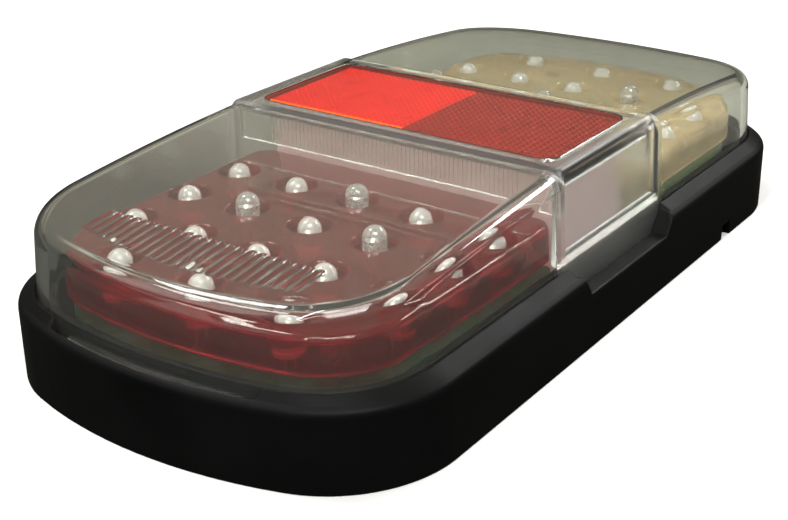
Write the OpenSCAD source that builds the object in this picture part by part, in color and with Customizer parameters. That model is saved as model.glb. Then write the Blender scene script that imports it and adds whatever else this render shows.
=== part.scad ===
// LED trailer tail light: a black housing that bolts flat to the trailer, a clear lens that
// lifts off it, a retro-reflector set in the lens, and two trays of LEDs on circuit boards.
// X runs along the lamp, with the stop and tail section at -X and the indicator at +X.
// Z runs up from the mounting face at Z = 0.

/* [Housing] */
// Half the length of the housing
base_a = 100; // [98:0.5:104]
// Half the width of the housing
base_b = 49.5; // [48.5:0.5:52]
// Height of the outer edge of the rim
rim_edge_z = 16.1; // [15:0.1:17]
// Height of the rim where it meets the lens
rim_top_z = 18.6; // [17.8:0.1:19.4]
// Thickness of the housing floor
floor_t = 3; // [2.6:0.1:3.4]

/* [Lens] */
// Half the length of the lens
lens_a = 96; // [95.5:0.1:96]
// Half the width of the lens
lens_b = 44.8; // [44.4:0.1:45]
// Thickness of the lens wall
lens_t = 2.2; // [1.8:0.1:2.4]
// Highest point of the lens crown
crown_z = 38.9; // [38:0.1:41]
// Radius of the lens shoulder
shoulder_r = 3.9; // [3.2:0.1:4.5]
// Radius of the long crown of the lens
crown_r = 694; // [600:1:900]

/* [Reflector] */
// Length of the reflector across the lamp
reflector_w = 76.8; // [70:0.2:77]
// Width of the reflector along the lamp
reflector_l = 34.8; // [30:0.2:36]
// Thickness of the reflector plate
reflector_t = 1.8; // [1.4:0.1:2]

/* [Light units] */
// Distance between LEDs
led_pitch = 16.2; // [15.8:0.1:16.4]
// Diameter of an LED
led_d = 5; // [4.8:0.1:5.2]
// How much further the raised LEDs stand
led_raise = 2; // [0.5:0.5:2.5]
// Top of the trays
tray_top_z = 25.8; // [25.4:0.1:26.4]
// Number of flutes under the end of the lens
flutes = 24; // [12:1:26]

/* [Mounting] */
// Distance between the two mounting screws
mount_span = 152; // [148:1:154]
// Core radius of the mounting thread
thread_r = 2.1; // [1.65, 2.1, 2.5]
// Diameter of the cable
cable_d = 7; // [5:0.5:8]

/* [Hidden] */
$fn = 72;
hull_fn = 32;
shoulder_fn = 24;
eps = 0.01;

// How far a cutter runs past the shape it cuts
past = 4;

// Plan outlines: long straight sides, bowed ends and round corners
base_re = 104;
base_rc = 27.2;
lens_re = 121;
lens_rc = 23.3;

// Housing
wall_gap = 0.35;
rib_gap = 0.4;
rib_t = 1.6;
rib_top_z = 17.4;
seal_h = 2.8;
lens_foot_z = floor_t + seal_h;
skirt_top_z = 17;
rim_run = base_a - lens_a - wall_gap;

// Notches in the rim where a blade lifts the lens
side_notch_top = 24;
side_notch_foot = 18;
side_notch_z = 12.6;
end_notch_top = 27;
end_notch_foot = 23;
end_notch_z = 13.2;
end_lip_t = 1.4;
tab_z = 14.1;
tab_t = 1.6;
tab_half = 21;
tab_out = 1.2;
drain_x = 53;
drain_w = 5;
drain_h = 3.6;
drain_depth = 4;

// Seal under the housing
seal_inset = 5;
seal_w = 3;
seal_depth = 1.8;

// Lens bridge, the flat platform that holds the reflector
bridge_half_l = 21;
bridge_half_w = 41.5;
bridge_z = crown_z + 0.1;
bridge_r = 3;
bridge_sink = 4;
bridge_skirt_z = 28.8;
bridge_skirt_t = 1.6;
recess_b = 42.8;
recess_z = 21;
lens_draft = 0.9;
back_t = 0.8;
back_inset = 1.5;
pocket_gap = 0.1;
pocket_floor_t = 1.4;
reflector_top_z = bridge_z - 0.1;
pocket_z = reflector_top_z - reflector_t - back_t;
reflector_r = 4;

// Flutes under the lens at the tail end
flute_pitch = 2.2;
flute_h = 0.6;
flute_root = 0.6;
flute_x0 = -87;
flute_x1 = -75.5;
flute_mid_x = (flute_x0 + flute_x1) / 2;

// Boards, trays and LEDs
board_z = 13;
board_t = 1.6;
board_top_z = board_z + board_t;
board_a = 88.6;
board_b = 37.6;
board_end = 15.2;
board_end_r = 2;
tray_a = 89.3;
tray_b = 38.6;
tray_re = 114.3;
tray_rc = 17.1;
tray_end = 15.6;
tray_end_r = 5;
tray_t = 1.8;
tray_foot_z = 18;
tray_draft = 0.3;
tray_edge_r = 2.5;
tray_post_r = 2.2;
tray_peg_r = 1.2;
tray_peg_out = 1;
peg_gap = 0.1;
led_x0 = 31.5;
led_row_y = 20.7;
led_top_z = 27.2;
led_len = 8.6;
led_flange_r = led_d / 2 + 0.4;
led_flange_t = 1;
led_leg = 0.5;
led_leg_x = 1.27;
led_leg_sink = 0.2;
cup_top_r = 4.7;
cup_foot_r = led_d / 2 + 0.7;
cup_wall = 0.9;
cup_foot_z = 21.4;

// LED places in one section as column and row steps, and the three places at its outer end
grid = [for (i = [0:2], j = [-2:2]) [led_x0 + i * led_pitch, j * led_pitch]];
end_row = [for (j = [-1:1]) [led_x0 + 3 * led_pitch, j * led_row_y]];
places = concat(grid, end_row);
stop_places = [[led_x0, 0], [led_x0 + led_pitch, led_pitch], [led_x0 + led_pitch, -led_pitch]];
raised_indicator = [
    [led_x0 + led_pitch, 0], [led_x0 + led_pitch, 2 * led_pitch],
    [led_x0 + 2 * led_pitch, -led_pitch]
];

// Board fixings and tray posts, between the LED places
board_fixings = [[23.4, 24.3], [23.4, -24.3], [72, 24.3], [72, -24.3]];
tray_posts = [[39.6, 8.1], [39.6, -8.1], [72, 10.5], [72, -10.5]];
boss_r = 4;
pilot_r = 1.25;
screw_r = 1.2;
screw_hole_r = 1.6;
screw_shank = 8;
head_r = 2.6;
head_h = 1.8;
slot_w = 0.7;
slot_l = 3;
slot_depth = 0.8;

// Mounting inserts and cable grommet
insert_r = 3.5;
insert_h = 10;
insert_boss_r = 6.5;
insert_boss_h = 11.5;
grommet_neck_r = 6.5;
grommet_flange_r = 9;
grommet_flange_t = 1.2;
grommet_h = 7;
grommet_y = -12;

// White carrier between the trays
carrier_half_l = 13.6;
carrier_foot_b = 39.4;
carrier_top_b = 35.4;
carrier_z = 11;
carrier_top_z = 34.4;
carrier_t = 1.8;
carrier_edge_r = 1;
well_y = 27;
well_r = 3.4;
well_wall = 1.4;
well_foot_z = 13;

// Parts on the boards, as length, width and height
resistor_size = [3.2, 1.6, 0.7];
diode_size = [4.5, 3.6, 2.2];

// Terminal block and the wires from its poles to the boards, as side and pole number
block_y = -1;
block_l = 22;
block_w = 10;
block_h = 8;
poles = 4;
pole_pitch = 5;
pole_floor = 2.5;
pole_well_r = 1.6;
pole_entry_r = 1.2;
pole_screw_r = 1.5;
pole_screw_h = 2.6;
pole_slot_w = 0.5;
wire_r = 0.8;
elbow_r = 1;
wire_z = 7;
wire_start_x = 3.2;
wire_end_x = 20;
links = [[-1, 0], [-1, 1], [-1, 2], [1, 2], [1, 3]];

function crown(x) = crown_z - x * x / (2 * crown_r);
function is_in(p, list) = len([for (q = list) if (q == p) 1]) > 0;
function corner_x(a, b, re, rc) = a - re + sqrt(pow(re - rc, 2) - pow(b - rc, 2));

// One quarter of a plan outline with bowed ends, from the middle of the end round to the side.
// a and b are half the length and half the width, re is the radius of the ends and rc that of
// the corners, which run smoothly into both. The end and the corner take the given steps.
function quarter(a, b, re, rc, end_steps = 8, corner_steps = 16) =
    let (
        cx = a - re,
        xc = corner_x(a, b, re, rc),
        yc = b - rc,
        turn = atan2(yc, xc - cx)
    )
    concat(
        [for (k = [0:end_steps]) let (w = turn * k / end_steps) [cx + re * cos(w), re * sin(w)]],
        [for (k = [1:corner_steps])
            let (w = turn + (90 - turn) * k / corner_steps) [xc + rc * cos(w), yc + rc * sin(w)]]
    );

module bowed(a, b, re, rc) {
    q = quarter(a, b, re, rc);
    last = len(q) - 1;
    polygon(concat(
        q,
        [for (i = [last:-1:0]) [-q[i][0], q[i][1]]],
        [for (i = [1:last]) [-q[i][0], -q[i][1]]],
        [for (i = [last:-1:1]) [q[i][0], -q[i][1]]]
    ));
}

module base_outline(d = 0) bowed(base_a - d, base_b - d, base_re - d, base_rc - d);
module lens_outline(d = 0) bowed(lens_a - d, lens_b - d, lens_re - d, lens_rc - d);

module rounded_rect(l, w, r) {
    square([l - 2 * r, w], center = true);
    square([l, w - 2 * r], center = true);
    for (sx = [-1, 1], sy = [-1, 1]) translate([sx * (l / 2 - r), sy * (w / 2 - r)]) circle(r);
}

module at_z(z, h) translate([0, 0, z]) linear_extrude(h) children();

module ring(z, h) at_z(z, h) difference() {
    children(0);
    children(1);
}

// Places one half lamp's pieces: side -1 is the stop and tail section, 1 the indicator
module at_places(side, list, z = 0) for (p = list) translate([side * p[0], p[1], z]) children();

// ---- Housing ----

module rim_form() hull() {
    at_z(rim_edge_z - eps, eps) base_outline();
    at_z(rim_top_z - eps, eps) base_outline(rim_run);
}

module notch_cutter(top, foot, z) linear_extrude(base_b - lens_b + 2 * past) polygon([
    [-top, rim_top_z + past], [-foot, z], [foot, z], [top, rim_top_z + past]
]);

module end_notch() intersection() {
    at_z(0, rim_top_z + past) base_outline(end_lip_t);
    translate([lens_a - past, 0, 0]) rotate([90, 0, 90])
        notch_cutter(end_notch_top, end_notch_foot, end_notch_z);
}

module housing_walls() difference() {
    union() {
        at_z(0, rim_edge_z) base_outline();
        rim_form();
    }
    at_z(floor_t, rim_top_z) lens_outline(-wall_gap);
    for (y = [base_b, -lens_b]) translate([0, y + past, 0]) rotate([90, 0, 0])
        notch_cutter(side_notch_top, side_notch_foot, side_notch_z);
    for (turn = [0, 180]) rotate(turn) end_notch();
    ring(-eps, seal_depth + eps) {
        base_outline(seal_inset);
        base_outline(seal_inset + seal_w);
    }
    for (turn = [0, 180]) rotate(turn) translate([drain_x, -base_b, drain_h / 2 - eps])
        cube([drain_w, 2 * drain_depth, drain_h], center = true);
}

module base_housing() color([0.03, 0.03, 0.032]) difference() {
    union() {
        housing_walls();
        ring(floor_t, rib_top_z - floor_t) {
            lens_outline(lens_t + rib_gap);
            lens_outline(lens_t + rib_gap + rib_t);
        }
        for (side = [-1, 1]) {
            at_places(side, board_fixings) cylinder(r = boss_r, h = board_z);
            translate([side * mount_span / 2, 0, 0]) cylinder(r = insert_boss_r, h = insert_boss_h);
        }
        for (sy = [-1, 1]) translate([0, sy * well_y, 0])
            cylinder(r = boss_r, h = well_foot_z - carrier_t);
    }
    for (side = [-1, 1]) {
        at_places(side, board_fixings, floor_t) cylinder(r = pilot_r, h = board_z);
        translate([side * mount_span / 2, 0, -eps]) cylinder(r = insert_r, h = insert_h + eps);
    }
    for (sy = [-1, 1]) translate([0, sy * well_y, floor_t]) cylinder(r = pilot_r, h = board_z);
    translate([0, grommet_y, -eps]) {
        cylinder(r = grommet_neck_r, h = floor_t + past);
        cylinder(r = grommet_flange_r, h = grommet_flange_t + eps);
    }
}

module mounting_seal() color([0.06, 0.06, 0.06]) ring(0, seal_depth) {
    base_outline(seal_inset);
    base_outline(seal_inset + seal_w);
}

module threaded_inserts() color([0.78, 0.62, 0.3]) for (side = [-1, 1])
    translate([side * mount_span / 2, 0, 0]) difference() {
        cylinder(r = insert_r, h = insert_h);
        translate([0, 0, -past]) cylinder(r = thread_r, h = insert_h + 2 * past);
    }

module cable_grommet() color([0.05, 0.05, 0.05]) translate([0, grommet_y, 0]) difference() {
    union() {
        cylinder(r = grommet_flange_r, h = grommet_flange_t);
        cylinder(r = grommet_neck_r, h = grommet_h);
        translate([0, 0, floor_t]) cylinder(r = grommet_flange_r, h = grommet_flange_t);
    }
    translate([0, 0, -past]) cylinder(r = cable_d / 2, h = grommet_h + 2 * past);
}

module lens_seal() color([0.1, 0.1, 0.1]) ring(floor_t, seal_h) {
    lens_outline(0);
    lens_outline(lens_t);
}

// ---- Lens and reflector ----

// Centres of the shoulder round along one quarter of the lens, on past its corner along the side
function shoulder_path(d, end_steps = 4, steps = 6) =
    let (
        q = quarter(lens_a - d, lens_b - d, lens_re - d, lens_rc - d, end_steps, steps),
        tip = q[len(q) - 1]
    )
    concat(q, [for (k = [1:steps]) [tip[0] * (1 - k / steps), tip[1]]]);

module lens_form(d) hull() {
    at_z(lens_foot_z, skirt_top_z - lens_foot_z) lens_outline(d);
    for (p = shoulder_path(lens_draft + shoulder_r), sx = [-1, 1], sy = [-1, 1])
        translate([sx * p[0], sy * p[1], crown(p[0]) - shoulder_r])
            sphere(shoulder_r - d, $fn = shoulder_fn);
}

module bridge_recess(half_l, b, z) for (y = [b, -b - 2 * past]) translate([-half_l, y, z])
    cube([2 * half_l, 2 * past, crown_z]);

module flute_comb() translate([flute_mid_x, 0, crown(flute_mid_x) - lens_t])
    rotate([0, -asin(flute_mid_x / crown_r), 0])
    rotate([90, 0, 90])
    linear_extrude(flute_x1 - flute_x0, center = true)
    polygon(concat(
        [[-flutes * flute_pitch / 2, flute_root]],
        [for (i = [0:flutes - 1], k = [0, 1])
            [(i - flutes / 2 + k / 2) * flute_pitch, -k * flute_h]],
        [[flutes * flute_pitch / 2, 0], [flutes * flute_pitch / 2, flute_root]]
    ));

module lens_cavity() difference() {
    lens_form(lens_t);
    bridge_recess(bridge_half_l + lens_t, recess_b - lens_t, recess_z - lens_t);
    at_z(pocket_z - pocket_floor_t, past)
        rounded_rect(2 * bridge_half_l, 2 * bridge_half_w, bridge_r);
    ring(bridge_skirt_z, pocket_z - bridge_skirt_z) {
        rounded_rect(2 * bridge_half_l, 2 * bridge_half_w, bridge_r);
        rounded_rect(
            2 * (bridge_half_l - bridge_skirt_t),
            2 * (recess_b - lens_t - bridge_skirt_t),
            bridge_r - bridge_skirt_t
        );
    }
}

module pry_tab() intersection() {
    ring(tab_z, tab_t) {
        lens_outline(-tab_out);
        lens_outline(lens_t / 2);
    }
    translate([lens_a - past, -tab_half, 0]) cube([2 * past, 2 * tab_half, rim_top_z]);
}

module outer_lens() color([0.72, 0.74, 0.7, 0.35]) {
    difference() {
        union() {
            lens_form(0);
            at_z(bridge_z - bridge_sink, bridge_sink)
                rounded_rect(2 * bridge_half_l, 2 * bridge_half_w, bridge_r);
        }
        translate([0, 0, -eps]) lens_cavity();
        bridge_recess(bridge_half_l, recess_b, recess_z);
        at_z(pocket_z, past) rounded_rect(
            reflector_l + 2 * pocket_gap, reflector_w + 2 * pocket_gap, reflector_r + pocket_gap);
    }
    for (turn = [0, 180]) rotate(turn) pry_tab();
    flute_comb();
}

module reflector() color([0.85, 0.1, 0.08]) at_z(reflector_top_z - reflector_t, reflector_t)
    rounded_rect(reflector_l, reflector_w, reflector_r);

module reflector_back() color([0.6, 0.6, 0.6])
    at_z(pocket_z, back_t) rounded_rect(
        reflector_l - 2 * back_inset, reflector_w - 2 * back_inset, reflector_r - back_inset);

// ---- Trays, carrier and boards ----

module half_outline(a, b, re, rc, end_x, end_r, side) intersection() {
    bowed(a, b, re, rc);
    translate([side * (end_x + base_a), 0]) rounded_rect(2 * base_a, 2 * b, end_r);
}

module tray_outline(d, side) half_outline(
    tray_a - d, tray_b - d, tray_re - d, tray_rc - d, tray_end + d, tray_end_r - d, side);

module tray_form(side) hull() {
    at_z(tray_foot_z, eps) tray_outline(0, side, $fn = hull_fn);
    for (w = [0:30:90])
        at_z(tray_top_z - tray_edge_r * (1 - sin(w)) - eps, eps)
            tray_outline(tray_draft + tray_edge_r * (1 - cos(w)), side, $fn = hull_fn);
}

module tray(side) {
    difference() {
        union() {
            difference() {
                tray_form(side);
                at_z(tray_foot_z - past, tray_top_z - tray_foot_z - tray_t + past)
                    tray_outline(tray_t, side);
            }
            at_places(side, places, cup_foot_z) cylinder(
                h = tray_top_z - cup_foot_z - eps,
                r1 = cup_foot_r + cup_wall,
                r2 = cup_top_r + cup_wall / 2
            );
        }
        at_places(side, places, cup_foot_z - eps) cylinder(
            h = tray_top_z - cup_foot_z + 2 * eps, r1 = cup_foot_r, r2 = cup_top_r);
    }
    at_places(side, tray_posts, board_top_z) cylinder(
        r = tray_post_r, h = tray_top_z - tray_t / 2 - board_top_z);
    at_places(side, tray_posts, board_z - tray_peg_out) cylinder(
        r = tray_peg_r, h = board_t + 2 * tray_peg_out);
}

module stop_tail_tray() color([0.5, 0.05, 0.07, 0.8]) tray(-1);
module indicator_tray() color([0.8, 0.66, 0.46, 0.8]) tray(1);

module board(side) difference() {
    at_z(board_z, board_t) half_outline(
        board_a, board_b, tray_re, tray_rc, board_end, board_end_r, side);
    at_places(side, board_fixings, board_z - past) cylinder(r = screw_hole_r, h = board_t + 2 * past);
    at_places(side, tray_posts, board_z - past) cylinder(
        r = tray_peg_r + peg_gap, h = board_t + 2 * past);
}

module stop_tail_board() color([0.05, 0.32, 0.16]) board(-1);
module indicator_board() color([0.05, 0.32, 0.16]) board(1);

// A screw with a cross slot, its head standing on Z = 0
module screw() difference() {
    union() {
        cylinder(r = head_r, h = head_h);
        translate([0, 0, -screw_shank]) cylinder(r = screw_r, h = screw_shank + eps);
    }
    translate([0, 0, head_h]) {
        cube([slot_w, slot_l, 2 * slot_depth], center = true);
        cube([slot_l, slot_w, 2 * slot_depth], center = true);
    }
}

module board_screws() color([0.7, 0.7, 0.72]) for (side = [-1, 1])
    at_places(side, board_fixings, board_top_z) screw();

module carrier_form(d) hull() {
    at_z(carrier_z, eps) square([2 * (carrier_half_l - d), 2 * (carrier_foot_b - d)], center = true);
    at_z(carrier_top_z - d - eps, eps)
        rounded_rect(2 * (carrier_half_l - d), 2 * (carrier_top_b - d), carrier_edge_r);
}

module centre_carrier() color([0.86, 0.84, 0.82]) difference() {
    union() {
        difference() {
            carrier_form(0);
            translate([0, 0, -eps]) carrier_form(carrier_t);
            at_z(carrier_z - past, past + eps)
                square([2 * (carrier_half_l - carrier_t), 2 * (carrier_foot_b - carrier_t)], center = true);
        }
        for (sy = [-1, 1]) translate([0, sy * well_y, well_foot_z - carrier_t])
            cylinder(r = well_r + well_wall, h = carrier_top_z - well_foot_z + carrier_t - eps);
    }
    for (sy = [-1, 1]) translate([0, sy * well_y, 0]) {
        translate([0, 0, well_foot_z]) cylinder(r = well_r, h = carrier_top_z);
        cylinder(r = screw_hole_r, h = well_foot_z + eps);
    }
}

module carrier_screws() color([0.7, 0.7, 0.72]) for (sy = [-1, 1])
    translate([0, sy * well_y, well_foot_z]) screw();

// ---- LEDs ----

module led(raise) translate([0, 0, led_top_z + raise - led_len]) {
    cylinder(r = led_flange_r, h = led_flange_t);
    cylinder(r = led_d / 2, h = led_len - led_d / 2);
    translate([0, 0, led_len - led_d / 2]) sphere(led_d / 2);
    leg_h = led_top_z + raise - led_len - board_top_z;
    for (sx = [-1, 1]) translate([sx * led_leg_x - led_leg / 2, -led_leg / 2, -leg_h])
        cube([led_leg, led_leg, leg_h + led_leg_sink]);
}

module tail_leds() color([0.9, 0.86, 0.86])
    at_places(-1, [for (p = places) if (!is_in(p, stop_places)) p]) led(0);

module stop_leds() color([0.82, 0.85, 0.92]) at_places(-1, stop_places) led(led_raise);

module indicator_leds() color([0.93, 0.9, 0.84]) for (p = places)
    at_places(1, [p]) led(is_in(p, raised_indicator) ? led_raise : 0);

// ---- Electrical parts ----

module chip(size) translate([-size[0] / 2, -size[1] / 2, 0]) cube(size);

module resistors(side) at_places(side, [for (i = [0:2], j = [-1:1])
    [led_x0 + (i + 0.5) * led_pitch, j * led_pitch]], board_top_z) chip(resistor_size);

module stop_tail_resistors() color([0.08, 0.08, 0.08]) resistors(-1);
module indicator_resistors() color([0.08, 0.08, 0.08]) resistors(1);

module diodes() color([0.1, 0.1, 0.1]) for (side = [-1, 1], sy = [-1, 1])
    translate([side * led_x0, sy * led_pitch / 2, board_top_z]) chip(diode_size);

function pole_y(i) = block_y + block_l / 2 + (i - (poles - 1) / 2) * pole_pitch;

module pole_row() for (i = [0:poles - 1]) translate([0, pole_y(i), 0]) children();

module terminal_block() color([0.85, 0.85, 0.82]) difference() {
    translate([-block_w / 2, block_y, floor_t]) cube([block_w, block_l, block_h]);
    pole_row() {
        translate([0, 0, floor_t + pole_floor]) cylinder(r = pole_well_r, h = block_h);
        translate([-block_w, 0, wire_z]) rotate([0, 90, 0])
            cylinder(r = pole_entry_r, h = 2 * block_w);
    }
}

module terminal_screws() color([0.75, 0.72, 0.6]) pole_row() translate([0, 0, wire_z + wire_r])
    difference() {
        cylinder(r = pole_screw_r, h = pole_screw_h);
        translate([0, 0, pole_screw_h])
            cube([3 * pole_screw_r, pole_slot_w, 2 * pole_slot_w], center = true);
    }

// One insulated wire from a pole of the terminal block to a pad under a board
module link_wire(side, y) {
    translate([side * wire_start_x, y, wire_z]) rotate([0, side * 90, 0])
        cylinder(r = wire_r, h = wire_end_x - wire_start_x);
    translate([side * wire_end_x, y, wire_z]) {
        sphere(elbow_r);
        cylinder(r = wire_r, h = board_z - wire_z);
    }
}

module link_wires() color([0.6, 0.15, 0.1]) for (e = links) link_wire(e[0], pole_y(e[1]));

base_housing();
mounting_seal();
threaded_inserts();
cable_grommet();
lens_seal();
outer_lens();
reflector();
reflector_back();
stop_tail_tray();
indicator_tray();
centre_carrier();
carrier_screws();
stop_tail_board();
indicator_board();
board_screws();
tail_leds();
stop_leds();
indicator_leds();
stop_tail_resistors();
indicator_resistors();
diodes();
terminal_block();
terminal_screws();
link_wires();
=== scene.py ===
"""The looks of an LED trailer tail light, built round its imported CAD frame.

Shapes are made in millimetres and scaled to metres when their mesh is finished. A station is a
place on a plan outline: a point, the direction out of the outline there, and the kind of stretch
it lies on. A path is a list of points that each station or each turn of a lathe repeats.
"""

import math
from collections import namedtuple

import bmesh
import bpy
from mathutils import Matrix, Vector


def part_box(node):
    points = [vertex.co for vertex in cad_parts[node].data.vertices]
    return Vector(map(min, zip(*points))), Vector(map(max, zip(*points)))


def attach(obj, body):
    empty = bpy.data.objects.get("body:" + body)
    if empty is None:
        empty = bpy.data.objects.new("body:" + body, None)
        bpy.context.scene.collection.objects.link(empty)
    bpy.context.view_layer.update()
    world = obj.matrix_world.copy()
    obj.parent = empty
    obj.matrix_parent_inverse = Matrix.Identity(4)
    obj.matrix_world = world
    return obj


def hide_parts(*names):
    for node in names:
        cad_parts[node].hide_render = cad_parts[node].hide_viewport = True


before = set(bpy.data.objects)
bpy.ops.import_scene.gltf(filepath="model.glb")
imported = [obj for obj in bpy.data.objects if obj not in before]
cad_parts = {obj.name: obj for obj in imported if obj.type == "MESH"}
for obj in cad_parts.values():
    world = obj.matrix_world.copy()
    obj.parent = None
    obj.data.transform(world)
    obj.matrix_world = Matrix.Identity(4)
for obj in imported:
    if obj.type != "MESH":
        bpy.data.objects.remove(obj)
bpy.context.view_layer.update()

MM = 0.001
MERGE = 0.004
SMOOTH_ANGLE = math.radians(31)
Station = namedtuple("Station", "point normal kind")


def box_mm(node):
    low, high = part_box(node)
    return low / MM, high / MM


# ---- Sizes, in millimetres, from the frame where it holds them ----

BASE_HIGH = box_mm("base_housing")[1]
LENS_LOW, LENS_HIGH = box_mm("outer_lens")
REFLECTOR_LOW, REFLECTOR_HIGH = box_mm("reflector")
BACK_LOW = box_mm("reflector_back")[0]
TRAY_LOW, TRAY_HIGH = box_mm("indicator_tray")
CARRIER_LOW, CARRIER_HIGH = box_mm("centre_carrier")
BOARD_LOW, BOARD_HIGH = box_mm("indicator_board")
LED_HIGH = box_mm("tail_leds")[1]
STOP_HIGH = box_mm("stop_leds")[1]
SEAL_HIGH = box_mm("mounting_seal")[1]
INSERT_HIGH = box_mm("threaded_inserts")[1]
GROMMET_LOW, GROMMET_HIGH = box_mm("cable_grommet")

# Rounds that recur, how far a cut runs past a face, and how far joined shapes overlap
CRISP_R, SOFT_R, EDGE_R = 0.1, 0.2, 0.3
THROUGH, OVERLAP = 1.0, 0.4

# Housing: the rim rises from its edge to the lens, and the floor is flat
BASE_END_R, BASE_CORNER_R = 104.0, 27.2
RIM_EDGE_Z, RIM_TOP_Z = 16.1, BASE_HIGH.z
FLOOR_Z = 3.0
WALL_GAP = 0.35
SIDE_NOTCH_HALF, SIDE_NOTCH_Z, SIDE_NOTCH_SLOPE = 18.0, 12.6, 1.5
END_NOTCH_HALF, END_NOTCH_Z, END_NOTCH_SLOPE = 23.0, 13.2, 2.1
END_LIP = 1.4
DRAIN_X, DRAIN_HALF, DRAIN_H, DRAIN_DEPTH, DRAIN_BLEND = 53.0, 2.5, 3.6, 4.0, 0.1
SEAL_OUT, SEAL_IN = 5.0, 8.0
RIB_OUT, RIB_IN, RIB_Z = 2.6, 4.2, 17.4
FOOT_R, RIM_R, LIP_R, MOUTH_R = 0.4, 1.1, 0.35, 0.45
INSERT_R, INSERT_BOSS_R, INSERT_BOSS_Z = 3.5, 6.5, 11.5
INSERT_X = INSERT_HIGH.x - INSERT_R
BOSS_R, PILOT_R, PILOT_TOP_Z = 4.0, 1.25, BOARD_LOW.z + 2
GROMMET_FLANGE_R, GROMMET_R, GROMMET_STEP_Z = 9.0, 6.5, 1.2

# Lens: one clear cover of even thickness with a raised bridge over its middle
PRY_TAB = 1.2
LENS_A = LENS_HIGH.x - PRY_TAB
LENS_END_R, LENS_CORNER_R = 121.0, 23.3
LENS_FOOT_Z, SKIRT_Z, BRIDGE_Z = LENS_LOW.z, 17.0, LENS_HIGH.z
LENS_T, SHOULDER_R, DRAFT = 2.2, 3.9, 0.9
CROWN_Z, CROWN_R = 38.9, 694.0
BRIDGE_HALF, BRIDGE_IN, BRIDGE_EDGE_R = 21.0, 2.0, 1.3
SLAB_Z = BACK_LOW.z - 1.4
TAB_LOW_Z, TAB_HIGH_Z, TAB_HALF = 14.1, 15.7, 21.0
SLAB_BLEND, STEP_BLEND = 1.3, 0.55
RECESS_Z, RECESS_Y, LEDGE_R = 21.0, 42.8, 0.5
ROOF_SPANS = 12
BRIDGE_SKIRT_Z, BRIDGE_SKIRT_T, SKIRT_TOP_Z = 28.8, 1.6, SLAB_Z + 1.7
SKIRT_RIB_PITCH, SKIRT_RIB_R, SKIRT_RIB_OUT, SKIRT_RIB_HALF = 1.1, 0.36, 0.14, 33.0
SKIRT_RIB_TIP_Z, SKIRT_RIB_FULL_Z = BRIDGE_SKIRT_Z + 0.5, BRIDGE_SKIRT_Z + 0.9
SKIRT_RIB_TOP_Z = SLAB_Z + 0.6
FLUTES, FLUTE_PITCH, FLUTE_END_R, FLUTE_STOP_X = 24, 2.2, 112.0, -75.5
FLUTE_R, FLUTE_SINK, FLUTE_SIDES = 1.3, 0.72, 12

# The ends of a flute, as how far along it and the share of its radius there
FLUTE_NOSE = [(0, 0.3), (0.35, 0.8), (0.9, 1.0)]

# Where the clear plastic is satin, and how rough it is on walls and on edges
WALL_SATIN, EDGE_SATIN = 0.15, 0.32
SATIN_HALF, SATIN_Z, SATIN_STEP, SATIN_Y = 2.4, 38.2, 0.8, 39.6

# Trays, boards and LEDs
TRAY_END_R, TRAY_CORNER_R, TRAY_INNER_R = 114.3, 17.1, 5.0
TRAY_FOOT_Z, TRAY_TOP_Z, TRAY_T, TRAY_EDGE_R = 18.0, TRAY_HIGH.z, 1.8, 2.5
TRAY_LEAN, TRAY_TOP_IN, TRAY_LEDGE, TRAY_LEDGE_R = 0.3, 0.9, 1.6, 0.8
CUP_TOP_R, CUP_FOOT_R, CUP_WALL, CUP_FOOT_Z, CUP_ROUND = 4.7, 3.2, 0.9, 21.4, 0.35
CUP_SIDES, PEG_SIDES, MOUTH_LIFT = 48, 24, 0.01
POST_R, PEG_R, PEG_OUT, OUTER_POST_Y = 2.2, 1.2, 1.0, 10.5
LED_PITCH, LED_X0, LED_ROW_Y = 16.2, 31.5, 20.7
LED_R, LED_H, FLANGE_R, FLANGE_H = 2.5, 8.6, 2.9, 1.0
LED_CORE_R, FLANGE_EDGE_R, LED_TIP_W = 0.4, 0.15, 84
LEAD_HALF, LEAD_X, LEAD_CUP_X, LEAD_CUP_Z, LEAD_EDGE_R = 0.25, 1.27, -0.35, 4.4, 0.05

# The cup in an LED as (radius, height, round), and the bars beside it as (x, z) to (x, z)
LEAD_CUP = [(0.2, 0, 0), (0.75, 0, 0.1), (1.15, 1.3, 0.08), (1.0, 1.3, 0.08), (0.55, 0.5, 0.1),
            (0.2, 0.5, 0)]
LEAD_BARS = [((-1.5, -0.6), (0.3, 0.1)), ((0.75, 0.4), (1.5, 1.1))]

# Carrier and reflector
WELL_R, WELL_WALL, WELL_Y, WELL_Z, WELL_LAND = 3.4, 1.4, 27.0, 13.0, 0.5
CARRIER_TOP_Y, CARRIER_T, CARRIER_CORNER_R = 35.4, 1.8, 1.5
CARRIER_EDGE_R, CARRIER_INNER_R, CARRIER_TOP_IN, SCREW_HOLE_R = 0.9, 0.4, 1.4, 1.6
REFLECTOR_R, POCKET_GAP = 4.0, 0.1
PLATE_T, PLATE_BORDER, PLATE_GAP, BORDER_EDGE_R = 0.45, 1.0, 0.05, 0.15
CELL, CELL_H, CELL_EDGE, CELL_SPLIT, CELL_GAP = 1.6, 0.5, 0.9, 0.02, 0.1
CELL_ANGLE = math.radians(10)


def on_grid(i, j):
    """The x and y of a place on the LED grid, counted from the row beside the carrier."""
    return LED_X0 + i * LED_PITCH, j * LED_PITCH


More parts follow.
